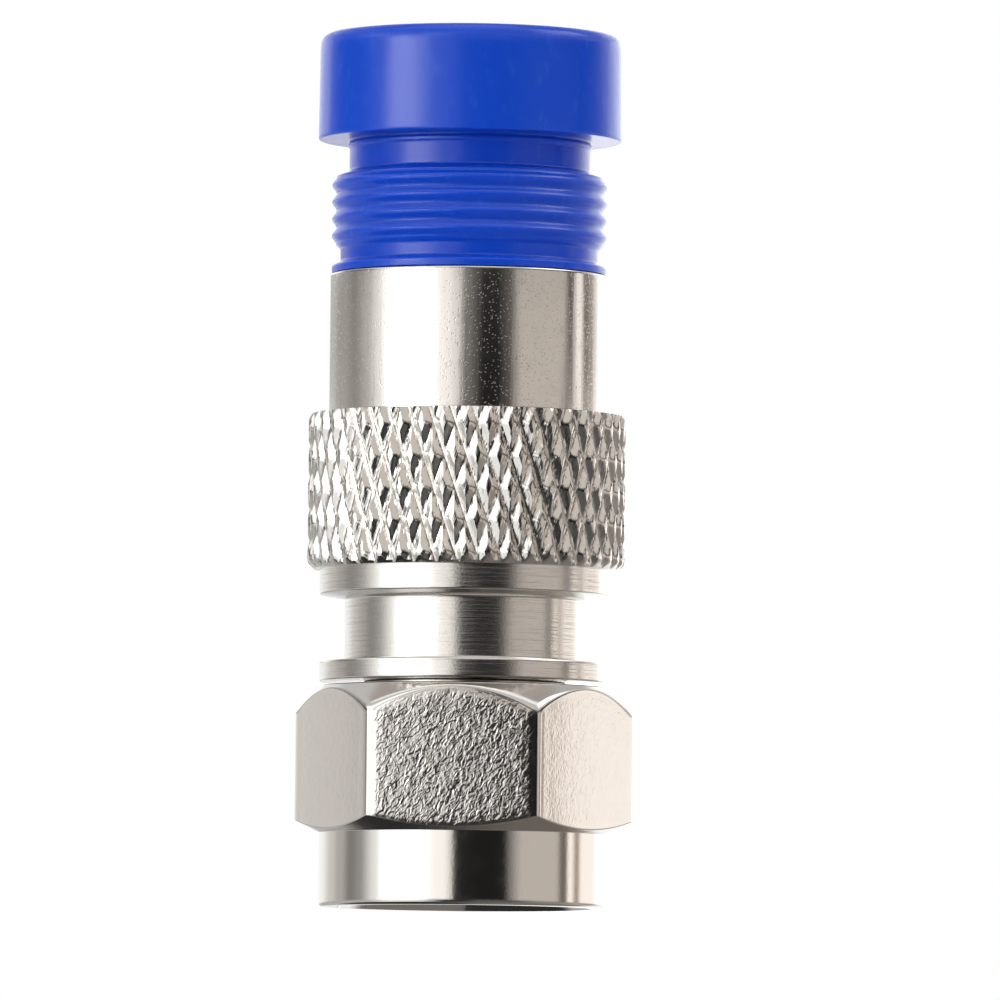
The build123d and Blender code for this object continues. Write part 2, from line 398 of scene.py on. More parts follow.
@dataclass(frozen=True)
class NickelFinish:
    """Nickel plate over turned or drawn brass.

    Attributes:
        tint: Colour of its reflections.
        hollow_shade: Their colour in the hollows of the wrinkles, a painted shade that darkens the hollows while the
            ridges keep the tint.
        roughness: Roughness of the plain plate.
        wrinkle: Height of the wrinkles on the drawn flats, in millimetres.
        turning: Height of the turning lines, in millimetres.
        pit: Depth of the pits in the barrel, in millimetres.
        tear: Height of the tool's tears along the knurl, in millimetres.
        lean: Degrees by which the tears lean, as the knurl's grooves do.
    """

    tint: Colour = (0.80, 0.775, 0.735)
    # painted shade: a darker reflection colour for the hollows of the wrinkles
    hollow_shade: Colour = (0.56, 0.53, 0.51)
    roughness: float = 0.055
    wrinkle: float = 0.0
    turning: float = 0.0
    pit: float = 0.0
    tear: float = 0.0
    lean: float = 19.5

    def material(self, name: str) -> bpy.types.Material:
        """Makes the plate's material."""
        shader = Shader(name)
        tint: Wire | tuple[float, ...] = (*self.tint, 1.0)
        height = shader.noise(1.8, detail=1.0) * 0.003
        rough = self.roughness + shader.noise(0.7, detail=3.0).above(0.5, 0.8) * 0.04
        if self.wrinkle:
            zone = shader.zone(Zone.WRINKLED)
            folds = shader.noise(0.165, stretch=(1, 1, 1.7), turn=(0, 30, 0), detail=1.2, curl=0.9)
            swell = shader.noise(0.7, detail=1.0)
            fine = shader.noise(0.09, detail=1.0)
            height = height + (folds + swell * 0.7) * zone * self.wrinkle + fine * 0.0012
            rough = rough + zone * 0.05 + 0.06
            # Painted shade: the colour darkens where the folds are low, so the wrinkle hollows look shaded and the
            # ridges keep the tint.
            tint = shader.mix((folds * -1.6 + 1.5) * zone, self.tint, self.hollow_shade)
        if self.turning:
            zone = shader.zone(Zone.TURNED)
            lines = shader.noise(0.11, stretch=(40, 40, 1), detail=3.0, rough=0.6)
            grain = shader.noise(0.06, detail=1.0)
            height = height + (lines + grain * 0.30) * zone * self.turning
            rough = rough + zone * 0.12
        if self.pit:
            zone = shader.zone(Zone.PITTED)
            specks = shader.noise(0.075, detail=0.0).above(0.69, 0.78)
            streaks = shader.noise(0.22, stretch=(1, 1, 10), detail=2.0)
            height = height + (streaks - specks) * zone * self.pit
            rough = rough + zone * 0.04
        if self.tear:
            zone = shader.zone(Zone.CUT)
            grooves = shader.noise(0.06, stretch=(1, 1, 9), turn=(0, self.lean, 0), detail=1.0)
            chips = shader.noise(0.12, detail=2.0)
            height = height + (grooves * 3.0 + chips) * zone * self.tear
            rough = rough + zone * 0.07
        settings = {"Metallic": 1.0, "Base Color": tint}
        return shader.surface(Roughness=rough, Normal=shader.bump(height), **settings)


@dataclass(frozen=True)
class PlasticFinish:
    """Smooth moulded plastic of a deep colour.

    Attributes:
        colour: Its colour in most places.
        pale: Its colour where the surface is rubbed.
        roughness: Roughness of the moulded skin.
        gloss: Strength of its reflections against plain plastic's 0.5.
        depth: How far light spreads in it, in millimetres.
    """

    colour: Colour = (0.0030, 0.072, 0.640)
    pale: Colour = (0.010, 0.104, 0.690)
    roughness: float = 0.19
    gloss: float = 0.50
    depth: float = 0.30

    def material(self, name: str) -> bpy.types.Material:
        """Makes the plastic's material."""
        shader = Shader(name)
        rubs = shader.noise(0.45, stretch=(1, 1, 2), detail=4.0, rough=0.65).above(0.52, 0.82)
        ripples = shader.noise(0.9, stretch=(1, 1, 2), detail=2.0, curl=0.5)
        height = shader.noise(0.10, detail=2.0) * 0.0018 + shader.noise(2.4, detail=1.0) * 0.014 + ripples * 0.010
        colour = shader.mix(rubs, self.colour, self.pale)
        look = {"Base Color": colour, "Roughness": self.roughness + rubs * 0.10, "Normal": shader.bump(height)}
        spread = {"Subsurface Weight": 0.5, "Subsurface Radius": (0.1, 0.5, 1.0), "Subsurface Scale": self.depth * MM}
        return shader.surface(**look, **spread, **{"Specular IOR Level": self.gloss})


@dataclass(frozen=True)
class RubberFinish:
    """Black rubber with a dull moulded skin."""

    colour: Colour = (0.02, 0.02, 0.021)
    bloom: Colour = (0.05, 0.05, 0.052)

    def material(self, name: str) -> bpy.types.Material:
        """Makes the rubber's material."""
        shader = Shader(name)
        dust = shader.noise(0.4, detail=3.0).above(0.5, 0.8)
        colour = shader.mix(dust, self.colour, self.bloom)
        height = shader.noise(0.08, detail=2.0) * 0.006
        rough = 0.62 + dust * 0.2
        return shader.surface(**{"Base Color": colour, "Roughness": rough, "Normal": shader.bump(height)})


# Pieces of the connector


@dataclass(frozen=True)
class Box:
    """Where a node of the frame lies, in millimetres.

    Attributes:
        foot: Lowest height.
        top: Highest height.
        across_x: Width along X.
        across_y: Width along Y.
    """

    foot: float
    top: float
    across_x: float
    across_y: float

    @staticmethod
    def of(node: str) -> "Box":
        """Reads a node's box from the frame."""
        low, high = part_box(node)
        return Box(low.z / MM, high.z / MM, (high.x - low.x) / MM, (high.y - low.y) / MM)


class Piece:
    """One piece that stands for a node of the frame.

    The sizes of each kind are in millimetres: _r is a radius, _l a length along the axis, _z a
    height, _edge how far a rounding reaches, and angles are in degrees.

    Attributes:
        node: The frame's node that it replaces.
        body: The body that it rides on.
        slot: Its material slot.
        crease: Edges that bend by more than this many degrees are shaded sharp.
    """

    node: str
    body: str
    slot: Slot
    crease: float = 40.0

    def ring(self) -> Ring:
        """Makes the piece's surface."""
        raise NotImplementedError

    def finish(self) -> bpy.types.Material:
        """Makes the piece's material."""
        raise NotImplementedError

    def add(self) -> bpy.types.Object:
        """Adds the piece to the scene, on its body and in place of its node."""
        data = self.ring().mesh(f"{self.node}_piece")
        data.set_sharp_from_angle(angle=math.radians(self.crease))
        data.materials.append(self.finish())
        made = link(f"{self.node}_piece", data)
        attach(made, self.body)
        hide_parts(self.node)
        log.info("%s: %d faces", made.name, len(data.polygons))
        return made


@dataclass
class CouplingNut(Piece):
    """The hexagonal nut with its round skirt and its 3/8-32 internal thread."""

    skirt_r: float = 5.365
    skirt_l: float = 2.75
    skirt_edge: float = 0.16
    corner_r: float = 0.38
    corner_reach: float = 0.60
    front_slope: float = 27.0
    crown: float = 0.05
    rear_inset: float = 0.10
    lip_l: float = 0.84
    lip_r: float = 3.80
    lip_edge: float = 0.12
    thread_r: float = 4.40
    thread_l: float = 4.30
    thread_pitch: float = 25.4 / 32
    thread_depth: float = 0.40
    thread_middle: float = 1.35
    thread_steep: float = 1.7
    thread_fade: float = 0.15
    thread_lead: float = 0.40
    relief_l: float = 0.80
    edge: float = 0.05
    soft_share: float = 0.20
    columns_on_flat: int = 40
    columns_on_corner: int = 14
    rows_on_flat: int = 22
    rows_in_turn: int = 14
    border_front: float = -0.04
    border_rear: float = 0.06
    border_side: float = 0.17
    smooth_border: float = 0.34
    faint: float = 0.13

    node = "coupling_nut"
    body = "nut"
    slot = Slot.NUT

    def hexagon(self) -> tuple[np.ndarray, np.ndarray]:
        """Angles of the columns, and the drawn hexagon's radius at each.

        The corners point along X and every 60 degrees on. Each is a conic from A over the sharp
        corner P to B, ((1-t)^2 A + 2wt(1-t) P + t^2 B) / ((1-t)^2 + 2wt(1-t) + t^2). It reaches
        further along the flats than the rounding's circle does, and its weight w puts its tip
        where the circle's is. On a flat the radius is h / cos of the angle from its middle, and h
        is crowned by c (1 - s^2), where s runs from -1 to 1 across the flat.
        """
        flat = Box.of(self.node).across_y / 2
        sharp_r = flat / math.cos(math.pi / 6)
        tip = self.corner_r * (1 / math.cos(math.pi / 6) - 1)
        share = 1 - tip / (self.corner_reach / 2)
        weight = share / (1 - share)
        t = np.linspace(0, 1, self.columns_on_corner + 1)
        parts = [(1 - t) ** 2, 2 * weight * t * (1 - t), t**2]
        whole = sum(parts)
        along = self.corner_reach * math.cos(math.pi / 3) * (parts[0] + parts[2]) / whole
        aside = self.corner_reach * math.sin(math.pi / 3) * (parts[2] - parts[0]) / whole
        corner_angles = np.arctan2(aside, sharp_r - along)
        corner_radii = np.hypot(aside, sharp_r - along)
        flat_angles = np.linspace(corner_angles[-1], math.pi / 3 - corner_angles[-1], self.columns_on_flat + 2)[1:-1]
        aside_flat = np.tan(math.pi / 6 - flat_angles) / math.tan(math.pi / 6 - corner_angles[-1])
        flat_radii = (flat + self.crown * (1 - aside_flat**2)) / np.cos(math.pi / 6 - flat_angles)
        angles = np.concatenate([corner_angles, flat_angles]) + np.arange(6)[:, None] * (math.pi / 3)
        return angles.ravel(), np.tile(np.concatenate([corner_radii, flat_radii]), 6)

    def thread(self, angles: np.ndarray) -> Run:
        """The internal thread from its run-out down to the chamfer at the mouth.

        Over a pitch its depth is a truncated V, clip(middle - steep |2p - 1|, 0, 1) of the whole.
        The phase p is z / pitch - a / 2 pi, so the groove rises by a pitch each time round. The
        chamfer cuts into it as r = thread_r + lead - z.
        """
        rows = round(self.thread_l / self.thread_pitch * self.rows_in_turn)
        z = np.linspace(self.thread_l, 0, rows)[:, None]
        phase = (z / self.thread_pitch - angles / (2 * np.pi)) % 1
        groove = np.clip(self.thread_middle - np.abs(2 * phase - 1) * self.thread_steep, 0, 1)
        groove = groove * self.thread_depth
        fade = np.clip((self.thread_l - z) / self.thread_fade, 0, 1)
        r = np.maximum(self.thread_r + groove * fade, self.thread_r + self.thread_lead - z)
        return Run(np.stack([r, np.broadcast_to(z, r.shape)], axis=-1))

    def ring(self) -> Ring:
        """The section is worked out for each column, because both bevels meet the flats in curves."""
        angles, hex_r = self.hexagon()
        top = Box.of(self.node).top
        rear_r = Box.of(self.node).across_y / 2 - self.rear_inset
        front_z = self.skirt_l + (hex_r - self.skirt_r) * math.tan(math.radians(self.front_slope))
        rear_z = top - (hex_r - rear_r)
        inner_top = top - self.lip_l
        relief_r = self.thread_r + self.thread_depth
        soft = (hex_r - rear_r) * math.sqrt(2) * self.soft_share
        first_z = front_z + 2 * SUPPORT * self.edge
        last_z = rear_z - SUPPORT * soft - self.edge
        share = np.linspace(0, 1, self.rows_on_flat)[:, None]
        flats = Run(np.stack(np.broadcast_arrays(hex_r, first_z + (last_z - first_z) * share), axis=-1))
        outside = [
            Corner(self.skirt_r, 0, self.skirt_edge),
            Corner(self.skirt_r, self.skirt_l, self.edge / 2),
            Corner(hex_r, front_z, self.edge),
            flats,
            Corner(hex_r, rear_z, soft),
            Corner(rear_r, top, self.edge),
        ]
        inside = [
            Corner(self.lip_r, top, self.lip_edge),
            Corner(self.lip_r, inner_top, self.edge),
            Corner(self.thread_r, inner_top, self.edge),
            Corner(self.thread_r, self.thread_l + self.relief_l),
            Corner(relief_r, self.thread_l + self.relief_l),
            Corner(relief_r, self.thread_l),
            self.thread(angles),
        ]
        section = carry(outside + inside, len(angles))
        wrinkled = self.wrinkled(section, angles, hex_r, front_z, rear_z - soft / 2)
        return Ring.round(section, angles, {Zone.WRINKLED: wrinkled})

    def wrinkled(
        self, section: np.ndarray, angles: np.ndarray, hex_r: np.ndarray, front_z: np.ndarray, rear_z: np.ndarray
    ) -> np.ndarray:
        """Strength of the wrinkles, full inside two opposite flats and faint on the other four.

        It is the smooth step t^2 (3 - 2t) of the distance inside the flat's nearest border, over
        the width of the smooth border.
        """
        r, z = section[..., 0], section[..., 1]
        flat = hex_r.min()
        from_corner = np.abs((angles + math.pi / 6) % (math.pi / 3) - math.pi / 6)
        aside = flat * math.tan(math.pi / 6) - flat * np.tan(math.pi / 6 - from_corner)
        along = np.minimum(z - front_z - self.border_front, rear_z - self.border_rear - z)
        inset = np.minimum(along, aside - self.border_side)
        t = np.clip(inset / self.smooth_border, 0, 1)
        strength = np.where(np.abs(np.sin(angles)) > math.cos(math.pi / 6), 1.0, self.faint)
        return t**2 * (3 - 2 * t) * strength * (np.abs(r - hex_r) < NEAR)

    def finish(self) -> bpy.types.Material:
        return NickelFinish(wrinkle=0.045).material("nickel_nut")


@dataclass
class InnerPost(Piece):
    """The post that carries the nut, with a barbed tube for the cable."""

    bore_r: float = 2.45
    wall: float = 0.40
    flange_l: float = 1.10
    flange_edge: float = 0.12
    seat_r: float = 3.33
    seat_l: float = 1.04
    bearing_r: float = 3.75
    bearing_l: float = 1.03
    shank_r: float = 3.20
    shank_l: float = 3.80
    barb_rise: float = 0.28
    barb_l: float = 1.30
    tip: float = 0.15
    edge: float = 0.05
    soft_edge: float = 0.06
    broad_edge: float = 0.08
    barb_edge: float = 0.04
    tip_edge: float = 0.03
    columns: int = 160

    node = "inner_post"
    body = "body"
    slot = Slot.POST

    def ring(self) -> Ring:
        """Up the outside from the flange, over the barbs, and down the bore."""
        box = Box.of(self.node)
        flange_r = box.across_x / 2
        tube_r = self.bore_r + self.wall
        barb_r = tube_r + self.barb_rise
        seat_z = box.foot + self.flange_l
        bearing_z = seat_z + self.seat_l
        shank_z = bearing_z + self.bearing_l
        tube_z = shank_z + self.shank_l
        low_barb = box.top - 2 * self.barb_l
        high_barb = box.top - self.barb_l
        steps = [(self.seat_r, seat_z), (self.seat_r, bearing_z), (self.bearing_r, bearing_z)]
        steps += [(self.bearing_r, shank_z), (self.shank_r, shank_z)]
        barbs = [(r, z) for z in (low_barb, high_barb) for r in (tube_r, barb_r)]
        items = [
            Corner(flange_r, box.foot, self.flange_edge),
            Corner(flange_r, seat_z, self.soft_edge),
            *(Corner(r, z, self.edge) for r, z in steps),
            Corner(self.shank_r, tube_z, self.broad_edge),
            Corner(tube_r, tube_z, self.soft_edge),
            *(Corner(r, z, self.barb_edge) for r, z in barbs),
            Corner(tube_r, box.top, self.soft_edge),
            Corner(self.bore_r + self.tip, box.top, self.tip_edge),
            Corner(self.bore_r, box.top - self.tip, self.tip_edge),
            Corner(self.bore_r, box.foot, self.broad_edge),
        ]
        section = carry(items, self.columns)
        return Ring.round(section, even_angles(self.columns), {Zone.TURNED: np.ones(section.shape[:2])})

    def finish(self) -> bpy.types.Material:
        return NickelFinish(tint=(0.78, 0.75, 0.69), roughness=0.12, turning=0.004).material("nickel_post")


@dataclass
class NutSeal(Piece):
    """The square-cut rubber ring between the post's flange and the nut's lip."""

    section_side: float = 1.00
    edge: float = 0.16
    columns: int = 128

    node = "nut_seal"
    body = "body"
    slot = Slot.SEAL

    def ring(self) -> Ring:
        """A square with rounded corners."""
        box = Box.of(self.node)
        outer = box.across_x / 2
        inner = outer - self.section_side
        corners = [(outer, box.foot), (outer, box.top), (inner, box.top), (inner, box.foot)]
        section = carry([Corner(r, z, self.edge) for r, z in corners], self.columns)
        return Ring.round(section, even_angles(self.columns))

    def finish(self) -> bpy.types.Material:
        return RubberFinish().material("seal_rubber")


@dataclass
class ConnectorBody(Piece):
    """The turned body with its flange, neck, collar, knurled band and thin barrel."""

    flange_r: float = 5.41
    flange_l: float = 0.73
    neck_r: float = 4.48
    neck_l: float = 2.51
    collar_r: float = 5.43
    collar_l: float = 0.95
    collar_cone: float = 0.16
    knurl_r: float = 5.90
    knurl_l: float = 5.75
    knurl_count: int = 44
    knurl_depth: float = 0.20
    knurl_edge: float = 0.10
    knurl_foot: float = 0.24
    barrel_r: float = 5.15
    barrel_wall: float = 0.20
    seat_r: float = 4.38
    seat_z: float = 12.80
    ramp_z: float = 14.45
    ramp_l: float = 2.00
    post_r: float = 3.20
    edge: float = 0.06
    turned_edge: float = 0.09
    barrel_edge: float = 0.05
    rim_edge: float = 0.04
    ramp_edge: float = 0.10
    seat_edge: float = 0.08
    groove: tuple[float, ...] = (1.0, 0.90, 0.62, 0.34, 0.05, 0.0, 0.0)
    second_groove: float = 0.80
    uneven: float = 0.004
    seed: int = 5
    cells: int = 12
    knurl_rows: int = 58

    node = "connector_body"
    body = "body"
    slot = Slot.BODY
    crease = 28.0

    @property
    def columns(self) -> int:
        """Columns round the axis, a whole number for each pitch of the knurl."""
        return self.knurl_count * self.cells

    def knurl(self, foot: float) -> tuple[np.ndarray, np.ndarray]:
        """Radii and heights of the knurled band, on rows that lie half a column apart in turn.

        The grooves of both hands run along the lines column + row / 2 and column - row / 2, so
        each passes through vertices all the way. A groove has a flat root, straight walls and
        flat crests beside it, and where two meet the deeper one counts. Both ends are bevelled.
        """
        row = np.arange(self.knurl_rows + 1)[:, None]
        column = np.arange(self.columns)[None, :] + (row % 2) / 2
        from_middle = (row - self.knurl_rows // 4 * 2) / 2
        profile = np.array(self.groove)
        cut = np.zeros(column.shape)
        for line, share in ((column + from_middle, 1.0), (column - from_middle, self.second_groove)):
            along = line.astype(int) % self.cells
            from_root = np.minimum(along, self.cells - along)
            cut = np.maximum(cut, profile[from_root] * share)
        z = foot + row * (self.knurl_l / self.knurl_rows)
        from_end = np.minimum(z - foot - self.knurl_foot, foot + self.knurl_l - z - self.knurl_edge)
        uneven = np.random.default_rng(self.seed).normal(0, self.uneven, cut.shape) * (cut > 0)
        r = self.knurl_r - cut * self.knurl_depth + uneven
        r = np.minimum(r, self.knurl_r + from_end)
        return r, np.broadcast_to(z, r.shape)

    def ring(self) -> Ring:
        """Turned section, with the knurled band as a lattice of rhombs in the middle of it."""
        box = Box.of(self.node)
        flange_z = box.foot + self.flange_l
        collar_z = flange_z + self.neck_l
        knurl_z = collar_z + self.collar_l
        barrel_z = knurl_z + self.knurl_l
        bore_r = self.barrel_r - self.barrel_wall
        below = [
            Corner(self.post_r, box.foot, self.edge),
            Corner(self.flange_r, box.foot, self.edge),
            Corner(self.flange_r, flange_z, self.turned_edge),
            Corner(self.neck_r, flange_z, self.turned_edge),
            Corner(self.neck_r, collar_z - self.collar_cone, self.turned_edge),
            Corner(self.collar_r, collar_z, self.edge),
            Corner(self.collar_r, knurl_z),
        ]
        above = [
            Corner(self.barrel_r, barrel_z, self.barrel_edge),
            Corner(self.barrel_r, box.top, self.edge),
            Corner(bore_r, box.top, self.rim_edge),
            Corner(bore_r, self.ramp_z + self.ramp_l, self.ramp_edge),
            Corner(self.seat_r, self.ramp_z, self.ramp_edge),
            Corner(self.seat_r, self.seat_z, self.seat_edge),
            Corner(self.post_r, self.seat_z, self.edge),
        ]
        band = Run(np.stack(self.knurl(knurl_z), axis=-1))
        section = carry([*below, band, *above], self.columns)
        first = len(carry([*below, band], self.columns)) - len(band.points)
        rows = len(section)

        shift = np.zeros((rows, 1))
        shift[first : first + self.knurl_rows + 1, 0] = (np.arange(self.knurl_rows + 1) % 2) / 2
        angles = (np.arange(self.columns)[None, :] + shift) * (2 * np.pi / self.columns)
        strips = range(first, first + self.knurl_rows)
        quads = quads_between(rows, self.columns, strips)
        flat = Ring.round(section, angles)
        r, z = section[..., 0], section[..., 1]
        outside = r > self.neck_r - NEAR
        barrel = (z > barrel_z + 2 * NEAR) & (r > self.barrel_r - 2 * NEAR)
        knurled = np.zeros(z.shape)
        knurled[first : first + self.knurl_rows + 1] = 1.0
        zones = {Zone.TURNED: outside & (z < knurl_z + NEAR), Zone.PITTED: barrel, Zone.CUT: knurled}
        return Ring(flat.points, zones, quads, self.rhombs(flat.points, first))

    def rhombs(self, points: np.ndarray, first: int) -> np.ndarray:
        """Triangles of the knurled band, two for each rhomb.

        A rhomb lies between the vertices left and right of it in its own row and the ones in the
        rows below and above. It is split along the diagonal whose middle stands further out,
        because every edge of the knurl that crosses a rhomb is a ridge.
        """
        r = np.hypot(points[..., 0], points[..., 1]).ravel()
        column = np.arange(self.columns)
        last = first + self.knurl_rows
        found = []
        for row in range(first, last + 1):
            odd = (row - first) % 2
            left = row * self.columns + (column - odd) % self.columns
            right = row * self.columns + (column - odd + 1) % self.columns
            low = (row - 1) * self.columns + column
            high = (row + 1) * self.columns + column
            if row == first:
                found.append(np.stack([left, right, high], axis=-1))
                continue
            if row == last:
                found.append(np.stack([left, low, right], axis=-1))
                continue
            across = (r[left] + r[right] > r[low] + r[high])[:, None]
            lower = np.where(across, np.stack([left, low, right], -1), np.stack([low, right, high], -1))
            upper = np.where(across, np.stack([left, right, high], -1), np.stack([low, high, left], -1))
            found += [lower, upper]
        return np.concatenate(found)

    def finish(self) -> bpy.types.Material:
        return NickelFinish(turning=0.008, pit=0.0025, tear=0.0022).material("nickel_body")


@dataclass
class CompressionSleeve(Piece):
    """The plastic sleeve: a nose inside the barrel, groove, soft ribs, neck and head."""

    bore_r: float = 3.97
    rim_z: float = 23.52
    nose_r: float = 4.92
    nose_tip_r: float = 4.35
    nose_taper_l: float = 2.00
    step_up: float = 0.03
    band_r: float = 5.11
    band_l: float = 0.18
    groove_r: float = 4.79
    cone_l: float = 0.35
    cone_start: float = 0.35
    cone_end: float = 0.75
    groove_l: float = 0.58
    rib_r: float = 5.12
    rib_depth: float = 0.16
    rib_count: int = 4
    rib_pitch: float = 0.633
    rib_rows: int = 20
    neck_r: float = 4.49
    neck_cone_l: float = 0.18
    neck_l: float = 1.20
    flash: float = 0.04
    flash_l: float = 0.34
    flash_shape: tuple[tuple[float, float], ...] = ((0, 1.0), (1, 0.8), (1, 0.5), (0, 0.3))
    head_draft: float = 0.04
    head_round: float = 0.50
    entry: float = 0.45
    fine_edge: float = 0.02
    band_edge: float = 0.03
    edge: float = 0.05
    soft_edge: float = 0.06
    head_edge: float = 0.07
    broad_edge: float = 0.08
    slope_edge: float = 0.10
    columns: int = 288

    node = "compression_sleeve"
    body = "sleeve"
    slot = Slot.SLEEVE

    def ribs(self, foot: float) -> Run:
        """Soft ribs, r = crest - depth (1 + cos 2 pi t) / 2, where t rises by 1 over each pitch."""
        steps = self.rib_count * self.rib_rows
        t = np.arange(steps + 1)[:, None] / self.rib_rows
        r = self.rib_r - self.rib_depth * (1 + np.cos(2 * np.pi * t)) / 2
        points = np.stack([r, foot + t * self.rib_pitch], axis=-1)
        return Run(np.broadcast_to(points, (steps + 1, self.columns, 2)))

    def ring(self) -> Ring:
        """Up the outside from the tip of the nose, round the head and down the bore.

        The cone's start and end are shares of its length. The moulding flash under the head is
        given by shares of its height and of its length below the head.
        """
        box = Box.of(self.node)
        head_r = box.across_x / 2
        band_z = self.rim_z + self.band_l
        ribs_z = band_z + self.groove_l + self.cone_l
        neck_z = ribs_z + self.rib_count * self.rib_pitch + self.neck_cone_l
        head_z = neck_z + self.neck_l
        flash = [
            Corner(self.neck_r + self.flash * rise, head_z - self.flash_l * below, self.fine_edge)
            for rise, below in self.flash_shape
        ]
        items = [
            Corner(self.bore_r, box.foot, self.edge),
            Corner(self.nose_tip_r, box.foot, self.broad_edge),
            Corner(self.nose_r, box.foot + self.nose_taper_l, self.slope_edge),
            Corner(self.nose_r, self.rim_z + self.step_up, self.fine_edge),
            Corner(self.band_r, self.rim_z + self.step_up, self.band_edge),
            Corner(self.band_r, band_z + self.cone_l * self.cone_start, self.edge),
            Corner(self.groove_r, band_z + self.cone_l * self.cone_end, self.soft_edge),
            Corner(self.groove_r, ribs_z - self.cone_l / 2, self.edge),
            self.ribs(ribs_z),
            Corner(self.neck_r, neck_z, self.broad_edge),
            *flash,
            Corner(self.neck_r, head_z, self.soft_edge),
            Corner(head_r, head_z, self.head_edge),
            Corner(head_r - self.head_draft, box.top, self.head_round),
            Corner(self.bore_r + self.entry, box.top, self.slope_edge),
            Corner(self.bore_r, box.top - self.entry, self.slope_edge),
        ]
        section = carry(items, self.columns)
        return Ring.round(section, even_angles(self.columns))

    def finish(self) -> bpy.types.Material:
        return PlasticFinish().material("blue_plastic")


# Studio


WARM_GREEN = 0.08  # share of its green that a card loses for each unit of warmth
WARM_BLUE = 0.14  # share of its blue


@dataclass(frozen=True)
class Card:
    """One card of the light tent, by azimuth seen from the object.

    Attributes:
        start: Where it starts in degrees. 0 is behind the camera and 90 to the picture's right.
        end: Where it ends.
        level: Its brightness.
        warmth: How far it leans to yellow.
    """

    start: float
    end: float
    level: float
    warmth: float = 0.0

    def light(self) -> Colour:
        """Brightness of red, green and blue."""
        green = self.level * (1 - WARM_GREEN * self.warmth)
        blue = self.level * (1 - WARM_BLUE * self.warmth)
        return (self.level, green, blue)


@dataclass(frozen=True)
class Belt:
    """The cards that hang at one height of the tent.

    Attributes:
        low: Lowest elevation in degrees, seen from the object.
        high: Highest elevation.
        cards: Its cards, from -180 to 180 degrees.
    """

    low: float
    high: float
    cards: tuple[Card, ...]

    def light(self, azimuth: np.ndarray) -> np.ndarray:
        """Light at each azimuth, blended evenly between one card and the next."""
        knots = [angle for card in self.cards for angle in (card.start, card.end)]
        levels = np.array([card.light() for card in self.cards for _ in range(2)])
        return np.stack([np.interp(azimuth, knots, levels[:, channel]) for channel in range(3)], axis=-1)


BELTS = (
    Belt(-90, -40, (
        Card(-180, -60, 0.03),
        Card(60, 140, 0.20, 1.0),
        Card(152, 170, 0.16, 0.8),
        Card(178, 180, 0.05),
    )),
    Belt(-32, -11, (
        Card(-180, -84, 0.50),
        Card(-64, -36, 1.00),
        Card(-16, 2, 0.04),
        Card(14, 40, 0.11),
        Card(66, 90, 0.30, 1.0),
        Card(104, 128, 0.45, 1.0),
        Card(146, 180, 1.10),
    )),
    Belt(-5, 2.6, (
        Card(-180, -148, 1.05),
        Card(-132, -127, 0.70, 0.5),
        Card(-118, -112, 0.50, 0.5),
        Card(-103, -98, 0.25, 0.6),
        Card(-91, -88, 0.34, 0.5),
        Card(-75, -73, 0.96),
        Card(-64, -32, 1.75),
        Card(-24, -14, 1.20, 0.3),
        Card(-9.5, -9, 0.80, 0.5),
        Card(-7, 33, 0.012),
        Card(39, 40, 0.30, 1.0),
        Card(46, 80, 0.60, 1.1),
        Card(85, 90, 0.16, 1.5),
        Card(93, 96, 1.30, 1.0),
        Card(101.5, 104, 0.38, 2.5),
        Card(108, 128, 1.22, 0.9),
        Card(136, 180, 1.70),
    )),
    Belt(4.2, 5.8, (
        Card(-180, -172, 0.90),
        Card(-168, -150, 0.52, 0.4),
        Card(-138, -122, 0.38, 0.6),
        Card(-112, -108, 0.30, 0.6),
        Card(-94, -92, 0.58, 0.5),
        Card(-80, -78, 1.05, 0.3),
        Card(-70, -32, 1.75),
        Card(-22, -20, 1.20, 0.3),
        Card(-10, -8, 0.95, 0.5),
        Card(-2, 0, 0.26, 0.6),
        Card(12, 24, 0.015, 1.0),
        Card(34, 35, 0.13, 1.0),
        Card(43, 86, 0.62, 1.1),
        Card(93, 96, 0.10, 1.0),
        Card(102, 107, 1.20, 0.7),
        Card(113, 117, 0.18, 1.5),
        Card(121, 125, 0.34, 1.5),
        Card(131, 133, 0.90, 0.8),
        Card(142, 180, 1.50),
    )),
    Belt(7, 13, (
        Card(-180, -140, 1.25),
        Card(-130, -128, 0.42),
        Card(-115, -88, 0.12),
        Card(-74, -70, 0.70),
        Card(-60, -46, 5.60),
        Card(-28, -18, 0.75),
        Card(-4, 30, 0.10),
        Card(50, 84, 0.14, 1.0),
        Card(92, 108, 0.02),
        Card(122, 124, 0.90),
        Card(142, 180, 1.90),
    )),
    Belt(18, 27, (
        Card(-180, -142, 0.90, 0.3),
        Card(-134, -116, 0.45, 0.5),
        Card(-108, -104, 0.35, 0.5),
        Card(-80, -22, 1.50),
        Card(-10, 86, 0.70, 1.0),
        Card(96, 128, 0.70, 1.0),
        Card(142, 180, 1.30),
    )),
    Belt(35, 50, (
        Card(-180, -100, 0.60),
        Card(-80, 52, 0.62),
        Card(74, 104, 2.60),
        Card(116, 180, 0.50),
    )),
    Belt(56, 68, (
        Card(-180, -110, 0.42, 1.0),
        Card(-84, 84, 1.05),
        Card(110, 180, 0.42, 1.0),
    )),
    Belt(80, 90, (Card(-180, 180, 1.30, 0.8),)),
)


